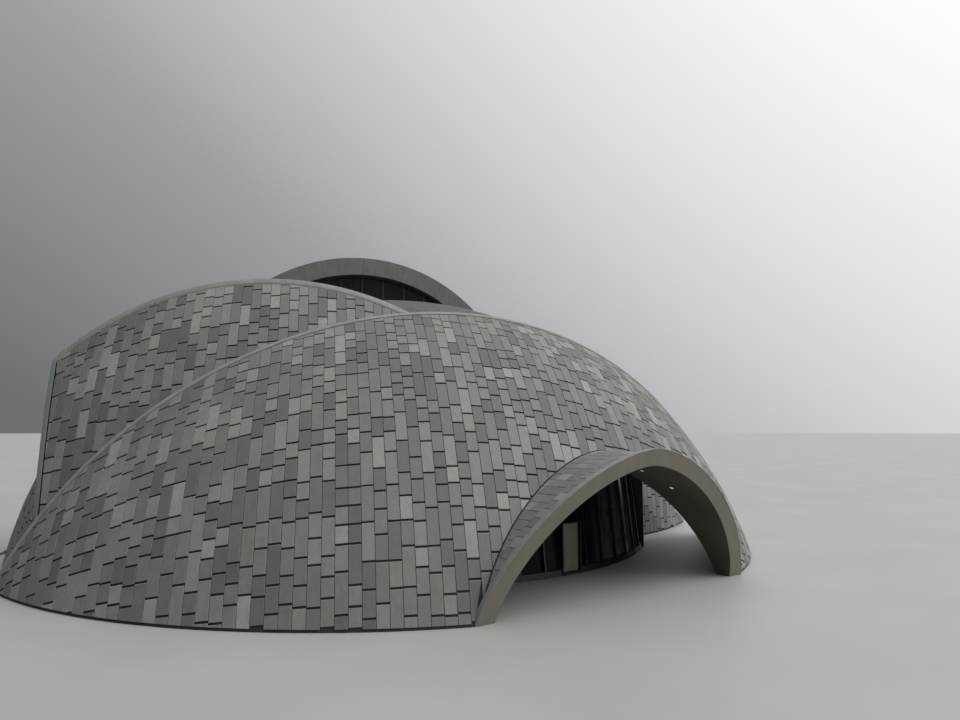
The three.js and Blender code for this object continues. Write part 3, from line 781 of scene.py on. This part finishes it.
def glass_look(name, specular, side=None):
    """Dark glazing. It can grow shinier to the sides, between two distances, and take a paler colour there,
    which is a painted reflection.
    """
    look = Look(name, roughness=0.05, specular=specular)
    if side:
        split = look.tree.nodes.new("ShaderNodeSeparateXYZ")
        look.link(look.coordinates.outputs["Object"], split.inputs["Vector"])
        across = look.spread(look.math("ABSOLUTE", split.outputs["X"], 0.0), side[0], side[1])
        look.link(look.spread(across, 0.0, 1.0, 0.04, specular), look.shader.inputs["Specular IOR Level"])
    wave = look.noise(0.7, 2.0)
    mottle = look.noise(1.0, 5.0, 0.65, vector=look.stretched((6.0, 6.0, 0.8)))
    base = look.ramp(mottle, [(0.35, (0.004, 0.005, 0.005)), (0.75, (0.012, 0.013, 0.013))])
    if side:
        # The sides take a paler colour: a painted reflection of the bright surroundings, in streaks.
        painted_reflection = look.ramp(mottle, [(0.4, (0.07, 0.075, 0.072)), (0.6, (0.19, 0.2, 0.19))])
        base = look.mix(across, base, painted_reflection)
    look.color(base)
    look.rough(look.spread(mottle, 0.35, 0.8, 0.03, 0.16))
    look.bump(wave, 0.25, 0.02)
    return look.material


def lamp_look():
    look = Look("lamp_lens", roughness=0.3)
    mottle = look.noise(30.0, 4.0, 0.6)
    look.color(look.ramp(mottle, [(0.3, (0.5, 0.48, 0.42)), (0.7, (0.75, 0.73, 0.66))]))
    look.rough(look.spread(mottle, 0.3, 0.7, 0.2, 0.4))
    look.bump(mottle, 0.1, 0.001)
    look.shader.inputs["Emission Color"].default_value = (1.0, 0.95, 0.85, 1.0)
    look.shader.inputs["Emission Strength"].default_value = 0.4
    return look.material


STONE = stone_look()
CONCRETE = concrete_look("bare_concrete", (0.14, 0.14, 0.132), (0.25, 0.248, 0.236))
# The shell faces under the slabs are painted near black: painted shade, so that the open slots between the
# slabs read as deep shadow.
SHELL = concrete_look("shell_concrete", (0.14, 0.14, 0.132), (0.25, 0.248, 0.236),
                      painted_shade=(0.014, 0.0135, 0.012))
# The soffit under the hood is painted darker: painted shade under the hood.
HOOD = concrete_look("hood_concrete", (0.115, 0.109, 0.083), (0.168, 0.16, 0.124), 0.5, 0.62,
                     painted_shade=(0.088, 0.083, 0.058))
COPING = metal_look("coping_panels", (0.2, 0.2, 0.187), 0.55, 0.1)
SIDE_TRIM = metal_look("side_trim", (0.14, 0.16, 0.15), 0.5, 0.1)
CROWN = metal_look("crown_panels", (0.115, 0.122, 0.113), 0.6, 0.1)
FRAME = metal_look("window_steel", (0.011, 0.0115, 0.0115), 0.4, 0.2)
DOOR = metal_look("door_panel", (0.15, 0.147, 0.11), 0.5, 0.1)
FLOOR = concrete_look("floor_stone", (0.3, 0.27, 0.225), (0.46, 0.43, 0.37), 1.4, 0.35)
GLASS = glass_look("dark_glazing", 0.12)
PORCH_GLASS = glass_look("porch_glazing", 1.0, PORCH_GLASS_SIDE)
ROOF = concrete_look("roof_concrete", (0.02, 0.02, 0.019), (0.115, 0.115, 0.109), 2.6, 0.75)
LAMP = lamp_look()


def dress(node, material):
    piece = frame["nodes"][node]
    if not piece.data.materials:
        piece.data.materials.append(material)
    for index in range(len(piece.data.materials)):
        piece.data.materials[index] = material


def finish_piece(piece, material, replaced=(), body="root"):
    piece.data.materials.clear()
    piece.data.materials.append(material)
    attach(piece, body)
    if replaced:
        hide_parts(*replaced)
    return piece


def turned_copy(piece, name):
    """The same piece half way round the building."""
    mesh = piece.data.copy()
    mesh.name = name
    mesh.transform(Matrix.Rotation(math.pi, 4, "Z"))
    mesh.update()
    return new_object(name, mesh)


def cover(piece, test):
    """Marks the faces that another layer covers, or others that a test picks out, for the painted shade that
    their material gives them.
    """
    mesh = piece.data
    attribute = mesh.attributes.new("painted_shade", "FLOAT", "FACE")
    marks = [1.0 if test([mesh.vertices[index].co for index in face.vertices], face) else 0.0
             for face in mesh.polygons]
    attribute.data.foreach_set("value", marks)
    return piece


def cover_outside(piece, centre, radius):
    limit = radius - COVER_MARGIN

    def is_outside(corners, face):
        return all((corner - centre).length > limit for corner in corners)
    return cover(piece, is_outside)


def both_sides(piece, twin_name, material, replaced=()):
    """Finishes a piece and its twin. Each replaces one of two nodes, or none."""
    twin = turned_copy(piece, twin_name)
    finish_piece(piece, material, replaced[:1])
    finish_piece(twin, material, replaced[1:])


def clad(name, twin_name, *arguments, **options):
    """Lays slabs on a shell and on its twin."""
    both_sides(slab_field(name, *arguments, **options), twin_name, STONE)


# The bodies of the shells.

def front_body():
    shell = cap_shell("front_shell_body", DOME_CENTRE, SHELL_RADIUS, DOME_RADIUS, FRONT_RIM,
                      FINE_STEPS, 48)
    keep(shell, above(0.0))
    combine(shell, arch_barrel(ARCH_OUTER, GAP))
    normal, limit = arch_front(ARCH_LIP_DEPTH + GAP)
    lip = keep(arch_barrel(ARCH_OUTER, ARCH_LIP + GAP), (-normal, -limit))
    return cover_outside(smooth(largest(combine(shell, lip))), DOME_CENTRE, SHELL_RADIUS)


def coping_band(name, centre, plane, side):
    """A rounded coping along the plane edge of a shell. The side is 1.0 beyond the plane, -1.0 before it."""
    turn, tilt, offset = plane
    profile = []
    for distance, height in COPING_SECTION:
        along = offset + side * distance
        profile.append((along, math.sqrt((SHELL_RADIUS + height) ** 2 - along ** 2)))
    return lathe(name, profile, centre, direction(turn, tilt), FINE_STEPS)


both_sides(front_body(), "rear_shell_body", SHELL, ("front_shell", "rear_shell"))

rim = coping_band("front_rim_coping", DOME_CENTRE, FRONT_RIM, -1.0)
keep(rim, above(0.0))
smooth(rim)
both_sides(rim, "rear_rim_coping", COPING, ("front_shell_rim", "rear_shell_rim"))

tile_radius = SHELL_RADIUS + SLAB_RISE
clad("front_shell_slabs", "rear_shell_slabs", 11, DOME_CENTRE, tile_radius, FRONT_COLUMNS,
     [above(BASE_GAP), before(FRONT_RIM, DOME_CENTRE, RIM_GAP)], [outside_arch(ARCH_GAP)])


def left_body():
    shell = cap_shell("left_shell_body", LEFT_CENTRE, SHELL_RADIUS, LEFT_INNER, LEFT_RIM,
                      FINE_STEPS, 24)
    keep(shell, above(0.0), beyond(LEFT_SIDE, LEFT_CENTRE))
    return cover_outside(smooth(largest(combine(shell, core_block()))), LEFT_CENTRE, SHELL_RADIUS)


both_sides(left_body(), "right_shell_body", SHELL, ("left_shell", "right_shell"))

rim = coping_band("left_rim_coping", LEFT_CENTRE, LEFT_RIM, -1.0)
keep(rim, above(0.0), beyond(LEFT_SIDE, LEFT_CENTRE))
rim = smooth(largest(combine(rim, core_block())))
both_sides(rim, "right_rim_coping", COPING, ("left_shell_rim", "right_shell_rim"))


# The coping along the upright flat side of the left shell.
rim = coping_band("left_side_coping", LEFT_CENTRE, LEFT_SIDE, 1.0)
keep(rim, above(0.0), before(LEFT_RIM, LEFT_CENTRE, RIM_WIDTH))
rim = smooth(largest(combine(rim, roof_block(DOME_RADIUS, BLOCK_FOOT))))
both_sides(rim, "right_side_coping", SIDE_TRIM,
           ("left_shell_edge_trim", "right_shell_edge_trim"))

clad("left_shell_slabs", "right_shell_slabs", 23, LEFT_CENTRE, tile_radius, LEFT_COLUMNS,
     [above(BASE_GAP), before(LEFT_RIM, LEFT_CENTRE, RIM_GAP), beyond(LEFT_SIDE, LEFT_CENTRE, RIM_GAP)],
     [outside_ball(DOME_CENTRE, DOME_RADIUS + LEFT_SLAB_CLEARANCE)])


def low_body():
    shell = zone("left_low_body", LOW_CENTRE, LOW_RADIUS, LOW_INNER, 0.0, LOW_TOP)
    keep(shell, before(LEFT_SIDE, LEFT_CENTRE, GAP), beyond(FRONT_RIM, DOME_CENTRE, GAP))
    combine(shell, round_block(RETURN_CENTRE, RETURN_INNER - GAP), "INTERSECT")
    return cover_outside(smooth(largest(shell)), LOW_CENTRE, LOW_RADIUS)


both_sides(low_body(), "right_low_body", SHELL, ("left_low_shell", "right_low_shell"))
# The low shells' slabs take only the darker tones: painted shade, for the shade they stand in between the
# shells.
clad("left_low_slabs", "right_low_slabs", 37, LOW_CENTRE, LOW_RADIUS + SLAB_RISE, LOW_COLUMNS,
     [above(BASE_GAP), before(LEFT_SIDE, LEFT_CENTRE, EDGE_GAP), beyond(FRONT_RIM, DOME_CENTRE, EDGE_GAP)],
     [inside_ball(RETURN_CENTRE, RETURN_INNER - EDGE_GAP)], high_angle=100.0, tones=(0.0, 0.3))


def return_slope():
    """The half-space below the slope in which the return wall ends, outside the flat side."""
    turn, tilt, offset = LEFT_SIDE
    tip = LEFT_CENTRE + direction(turn, tilt) * (offset - RETURN_TAIL_REACH)
    tip.z = 0.0
    normal = -direction(turn, -RETURN_TAIL_SLOPE)
    return normal, tip.dot(normal)


def return_body():
    top = EAVES_HEIGHT - GAP
    shell = zone("left_return_body", RETURN_CENTRE, RETURN_RADIUS, RETURN_INNER, 0.0, top)
    keep(shell, LEFT_HALF, beyond(LEFT_RIM, LEFT_CENTRE, GAP), beyond(LEFT_SIDE, LEFT_CENTRE))
    tail = zone("left_return_tail", RETURN_CENTRE, RETURN_RADIUS, RETURN_INNER, 0.0, top)
    keep(tail, LEFT_HALF, beyond(LEFT_RIM, LEFT_CENTRE, GAP),
         before(LEFT_SIDE, LEFT_CENTRE, -TAIL_OVERLAP), return_slope())
    combine(shell, tail, "UNION")
    return cover_outside(smooth(largest(combine(shell, core_block()))), RETURN_CENTRE, RETURN_RADIUS)


both_sides(return_body(), "right_return_body", SHELL,
           ("left_return_wall", "right_return_wall"))
return_planes = [above(BASE_GAP), below(EAVES_HEIGHT - TOP_GAP), LEFT_HALF]
clad("left_return_slabs", "right_return_slabs", 41, RETURN_CENTRE, RETURN_RADIUS + SLAB_RISE,
     RETURN_COLUMNS,
     return_planes + [beyond(LEFT_RIM, LEFT_CENTRE, EDGE_GAP), beyond(LEFT_SIDE, LEFT_CENTRE)],
     [outside_ball(HALL_MIDDLE, EAVES_RADIUS)], high_angle=90.0)
clad("left_return_end_slabs", "right_return_end_slabs", 43, RETURN_CENTRE, RETURN_RADIUS + SLAB_RISE,
     RETURN_COLUMNS, return_planes + [before(LEFT_SIDE, LEFT_CENTRE), return_slope()], high_angle=90.0)


# The roof dome and the crown.

def crown_axis():
    return direction(CROWN_TURN)


def roof_body():
    profile = dome_profile(DOME_RADIUS - GAP, DOME_RADIUS - DOME_THICKNESS,
                           EAVES_HEIGHT - DOME_CENTRE.z, 40)
    dome = lathe("roof_dome_body", profile, DOME_CENTRE, UP, FINE_STEPS)
    well = ball_end("crown_ball", CROWN_CENTRE, crown_axis(), CROWN_WELL, CROWN_WELL_START, 32, 160)
    return smooth(combine(dome, well))


finish_piece(roof_body(), ROOF, ("roof_dome",))


def right_lens():
    lens = solid_cap("lens", LEFT_CENTRE, SHELL_RADIUS + RIM_RISE + GAP, LEFT_RIM, 160, 24)
    keep(lens, beyond(LEFT_SIDE, LEFT_CENTRE))
    lens.data.transform(Matrix.Rotation(math.pi, 4, "Z"))
    return lens


def crown_body():
    outer = CROWN_RADIUS - GAP
    profile = dome_profile(outer, CROWN_RADIUS - CROWN_THICKNESS, CROWN_FASCIA_DEPTH + GAP, 30)
    shell = lathe("crown_shell_body", profile, CROWN_CENTRE, crown_axis(), 180)
    combine(shell, roof_block(DOME_RADIUS, BLOCK_FOOT))
    shell = smooth(largest(keep(combine(shell, right_lens()), above(CROWN_FOOT))))
    return cover_outside(shell, CROWN_CENTRE, outer)


finish_piece(crown_body(), SHELL, ("crown_shell",))


def crown_fascia():
    """The broad arch in front of the crown, of bent panels with open joints between them."""
    axis = crown_axis()
    side, other = frame_about(axis)
    inner = CROWN_RADIUS - CROWN_FASCIA
    outer = CROWN_RADIUS + FASCIA_RISE
    bevel = 0.015
    depth = CROWN_FASCIA_DEPTH
    section = [(0.0, inner + bevel), (0.0, outer - bevel), (bevel, outer),
               (depth - bevel, outer), (depth, outer - bevel), (depth, inner + bevel),
               (depth - bevel, inner), (bevel, inner)]
    bm = bmesh.new()
    steps = 12
    joint = FASCIA_JOINT / outer
    for panel in range(FASCIA_PANELS):
        start = 2.0 * math.pi * panel / FASCIA_PANELS + joint
        end = 2.0 * math.pi * (panel + 1) / FASCIA_PANELS - joint
        rings = []
        for step in range(steps + 1):
            angle = start + (end - start) * step / steps
            radial = side * math.cos(angle) + other * math.sin(angle)
            rings.append([bm.verts.new(CROWN_CENTRE + axis * along + radial * across)
                          for along, across in section])
        skin(bm, rings)
    bmesh.ops.recalc_face_normals(bm, faces=bm.faces)
    fascia = from_bmesh("crown_fascia", bm)
    return smooth(keep(combine(fascia, roof_block(DOME_RADIUS, BLOCK_FOOT)), above(CROWN_FOOT)))


finish_piece(crown_fascia(), CROWN, ("crown_arch",))

slabs = slab_field("crown_slabs", 53, CROWN_CENTRE, CROWN_RADIUS + CROWN_SLAB_RISE, CROWN_COLUMNS,
                   [beyond((CROWN_TURN, 0.0, CROWN_FASCIA_DEPTH), CROWN_CENTRE, EDGE_GAP)],
                   [outside_ball(DOME_CENTRE, DOME_RADIUS + CROWN_SLAB_CLEARANCE)])
finish_piece(slabs, STONE)


# The arches over the entrances.

def arch_sweep(name, section, steps=220):
    """Sweeps a closed section of (curve, margin, depth) points along the arch, down below the ground."""
    bm = bmesh.new()
    rings = []
    for step in range(steps + 1):
        angle = math.pi * step / steps
        rings.append([bm.verts.new(arch_point(curve, grow, angle, depth))
                      for curve, grow, depth in section])
    skin(bm, rings)
    bmesh.ops.recalc_face_normals(bm, faces=bm.faces)
    return from_bmesh(name, bm)


def hood():
    bevel = 0.012
    deep = ARCH_DEPTH - MARGIN
    edge = ARCH_LIP - HOOD_RIM
    section = [(ARCH_INNER, 0.0, bevel), (ARCH_INNER, bevel, 0.0), (ARCH_OUTER, edge - bevel, 0.0),
               (ARCH_OUTER, edge, bevel), (ARCH_OUTER, edge, ARCH_LIP_DEPTH),
               (ARCH_OUTER, 0.0, ARCH_LIP_DEPTH), (ARCH_OUTER, 0.0, deep), (ARCH_INNER, 0.0, deep)]
    arch = arch_sweep("entrance_hood", section)
    keep(arch, above(0.0))
    smooth(combine(arch, roof_block(DOME_RADIUS, BLOCK_FOOT)))
    out, _, origin = arch_axes()

    # The soffit faces, which take the hood's painted shade.
    def on_soffit(corners, face):
        inward = origin + UP * ARCH_INNER[2] - sum(corners, Vector()) / len(corners)
        level = abs(face.normal.dot(out)) < 0.1
        return level and face.normal.dot(inward) > 0.0
    return cover(arch, on_soffit)


both_sides(hood(), "rear_hood", HOOD, ("entrance_arch", "rear_arch"))


def hood_coping():
    """Two pressed strips with a shadow joint between them, on top of the lip."""
    low = ARCH_LIP - HOOD_RIM + 0.0005
    high = ARCH_LIP
    joint = 0.012
    middle = ARCH_LIP_DEPTH * 0.55
    outline = [(low, 0.0), (high - 0.008, -0.006), (high, 0.004), (high, middle - joint),
               (high - joint, middle), (high, middle + joint), (high, ARCH_LIP_DEPTH - 0.008),
               (high - 0.008, ARCH_LIP_DEPTH), (low, ARCH_LIP_DEPTH)]
    band = arch_sweep("entrance_hood_coping", [(ARCH_OUTER, grow, depth) for grow, depth in outline])
    return smooth(keep(band, above(0.0)))


both_sides(hood_coping(), "rear_hood_coping", COPING)


def arch_stations(curve, grow, length, first, steps=720):
    """Angles along the arch's curve, a given length apart."""
    points = [arch_curve(curve, grow, math.pi * step / steps) for step in range(steps + 1)]
    travelled = 0.0
    wanted = first
    stations = []
    for step in range(steps):
        part = math.dist(points[step], points[step + 1])
        while part and travelled + part >= wanted:
            stations.append(math.pi * (step + (wanted - travelled) / part) / steps)
            wanted += length
        travelled += part
    return stations


def hood_slabs():
    """Slabs on top of the hood, in columns that run along the arch."""
    along = arch_axes()[1]
    slabs = Slabs(67, (0.45, 1.0))
    ball = outside_ball(DOME_CENTRE, tile_radius + EDGE_GAP)
    start_depth = ARCH_LIP_DEPTH + EDGE_GAP
    slope = 2.0 - 2.0 / ARCH_EXPONENT
    while start_depth < ARCH_DEPTH:
        end_depth = start_depth + HOOD_SLAB_DEPTH - SIDE_JOINT
        first = slabs.random.random() * HOOD_SLAB_LENGTH
        stations = arch_stations(ARCH_OUTER, SLAB_RISE, HOOD_SLAB_LENGTH, first)
        for angle, following in zip(stations, stations[1:]):
            end = following - (following - angle) * SIDE_JOINT / HOOD_SLAB_LENGTH
            corners = ((angle, start_depth), (angle, end_depth), (end, end_depth), (end, start_depth))
            polygon = [arch_point(ARCH_OUTER, SLAB_RISE, turned, depth) for turned, depth in corners]
            middle = (angle + end) / 2.0
            sideways = math.copysign(abs(math.cos(middle)) ** slope, math.cos(middle)) / ARCH_OUTER[0]
            upward = UP * math.sin(middle) ** slope / ARCH_OUTER[1]
            outward = (along * sideways + upward).normalized()
            polygon = clip(polygon, [above(HOOD_SLAB_FOOT)])
            if polygon:
                polygon = clip_round(polygon, ball)
            if polygon:
                slabs.add(polygon, outward)
        start_depth += HOOD_SLAB_DEPTH
    return slabs.build("entrance_hood_slabs")


both_sides(hood_slabs(), "rear_hood_slabs", STONE)


def soffit_lamps():
    """Round lamps let in to the soffit: a dark ring with a pale lens in it."""
    out = arch_axes()[0]
    rings = bmesh.new()
    lenses = bmesh.new()
    for turn, depth in LAMP_PLACES:
        angle = math.radians(turn)
        place = arch_point(ARCH_INNER, 0.0, angle, depth)
        before_it = arch_point(ARCH_INNER, 0.0, angle - LAMP_SPAN, depth)
        after_it = arch_point(ARCH_INNER, 0.0, angle + LAMP_SPAN, depth)
        inward = (after_it - before_it).cross(out).normalized()
        if inward.z > 0.0:
            inward.negate()
        side, other = frame_about(inward)
        for bm, profile in ((rings, LAMP_RING), (lenses, LAMP_LENS)):
            loops = []
            for radius, height in profile:
                loop = []
                for step in range(LAMP_STEPS):
                    turned = 2.0 * math.pi * step / LAMP_STEPS
                    radial = side * math.cos(turned) + other * math.sin(turned)
                    loop.append(bm.verts.new(place + radial * radius + inward * height))
                loops.append(loop)
            skin(bm, loops, closed=bm is rings)
    for bm in (rings, lenses):
        bmesh.ops.recalc_face_normals(bm, faces=bm.faces)
    return from_bmesh("entrance_lamp_rings", rings), from_bmesh("entrance_lamp_lenses", lenses)


lamp_rings, lamp_lenses = soffit_lamps()
both_sides(lamp_rings, "rear_lamp_rings", FRAME)
both_sides(lamp_lenses, "rear_lamp_lenses", LAMP)


# The pieces that keep their solid shape.

for side in ("left", "right"):
    for part in ("_shell_back_wall", "_shell_side_wall", "_annex_roof", "_annex_wall"):
        dress(side + part, CONCRETE)
for side in ("front", "rear"):
    dress(side + "_link_wall", CONCRETE)
    dress(side + "_porch_wall", HOOD)
    dress(side + "_glass_wall", PORCH_GLASS)
    dress(side + "_glass_frame", FRAME)
dress("dome_ring_beam", CONCRETE)
dress("floor_slab", FLOOR)
dress("crown_window_bars", FRAME)
dress("crown_window_glass", GLASS)
dress("door_frame", FRAME)
dress("door_leaf", DOOR)


# The floor, the light and the camera.

def pale_floor():
    bm = bmesh.new()
    bmesh.ops.create_circle(bm, cap_ends=True, cap_tris=True, segments=FLOOR_STEPS,
                            radius=FLOOR_RADIUS)
    floor = from_bmesh("pale_floor", bm)
    floor.location.z = -FLOOR_DROP
    look = Look("pale_floor", roughness=0.55)
    cloud = look.noise(0.15, 5.0)
    look.color(look.ramp(cloud, [(0.3, (0.33, 0.324, 0.31)), (0.7, (0.365, 0.358, 0.344))]))
    floor.data.materials.append(look.material)


def soft_sky():
    world = bpy.data.worlds.new("soft_sky")
    world.use_nodes = True
    nodes = world.node_tree.nodes
    links = world.node_tree.links
    background = nodes["Background"]
    coordinates = nodes.new("ShaderNodeTexCoord")
    split = nodes.new("ShaderNodeSeparateXYZ")
    ramp = nodes.new("ShaderNodeValToRGB")
    links.new(coordinates.outputs["Generated"], split.inputs["Vector"])
    level = nodes.new("ShaderNodeMath")
    level.operation = "MULTIPLY_ADD"
    level.inputs[1].default_value = SKY_RISE
    level.inputs[2].default_value = SKY_BASE
    tipped = nodes.new("ShaderNodeMath")
    tipped.operation = "MULTIPLY_ADD"
    tipped.inputs[1].default_value = SKY_TIP
    links.new(split.outputs["Z"], level.inputs[0])
    links.new(split.outputs["X"], tipped.inputs[0])
    links.new(level.outputs["Value"], tipped.inputs[2])
    links.new(tipped.outputs["Value"], ramp.inputs["Fac"])
    links.new(ramp.outputs["Color"], background.inputs["Color"])
    elements = ramp.color_ramp.elements
    low, middle, high = SKY_STOPS
    elements[0].position, elements[0].color = low[0], (*low[1], 1.0)
    elements[1].position, elements[1].color = high[0], (*high[1], 1.0)
    elements.new(middle[0]).color = (*middle[1], 1.0)
    background.inputs["Strength"].default_value = 1.0
    bpy.context.scene.world = world
    light = bpy.data.lights.new("soft_key", "SUN")
    light.energy = SUN_ENERGY
    light.angle = math.radians(SUN_WIDTH)
    lamp = bpy.data.objects.new("soft_key", light)
    lamp.rotation_euler = SUN_FROM.to_track_quat("Z", "Y").to_euler()
    bpy.context.scene.collection.objects.link(lamp)


def photo_camera():
    camera = bpy.data.cameras.new("camera")
    camera.lens = CAMERA_FOCUS / PICTURE_WIDTH * SENSOR_WIDTH
    camera.sensor_width = SENSOR_WIDTH
    camera.clip_end = CAMERA_REACH
    holder = bpy.data.objects.new("camera", camera)
    holder.location = CAMERA_PLACE
    holder.rotation_euler = (math.radians(90.0 + CAMERA_PITCH), 0.0, 0.0)
    bpy.context.scene.collection.objects.link(holder)
    bpy.context.scene.camera = holder


pale_floor()
soft_sky()
photo_camera()
bpy.context.scene.view_settings.view_transform = "Standard"
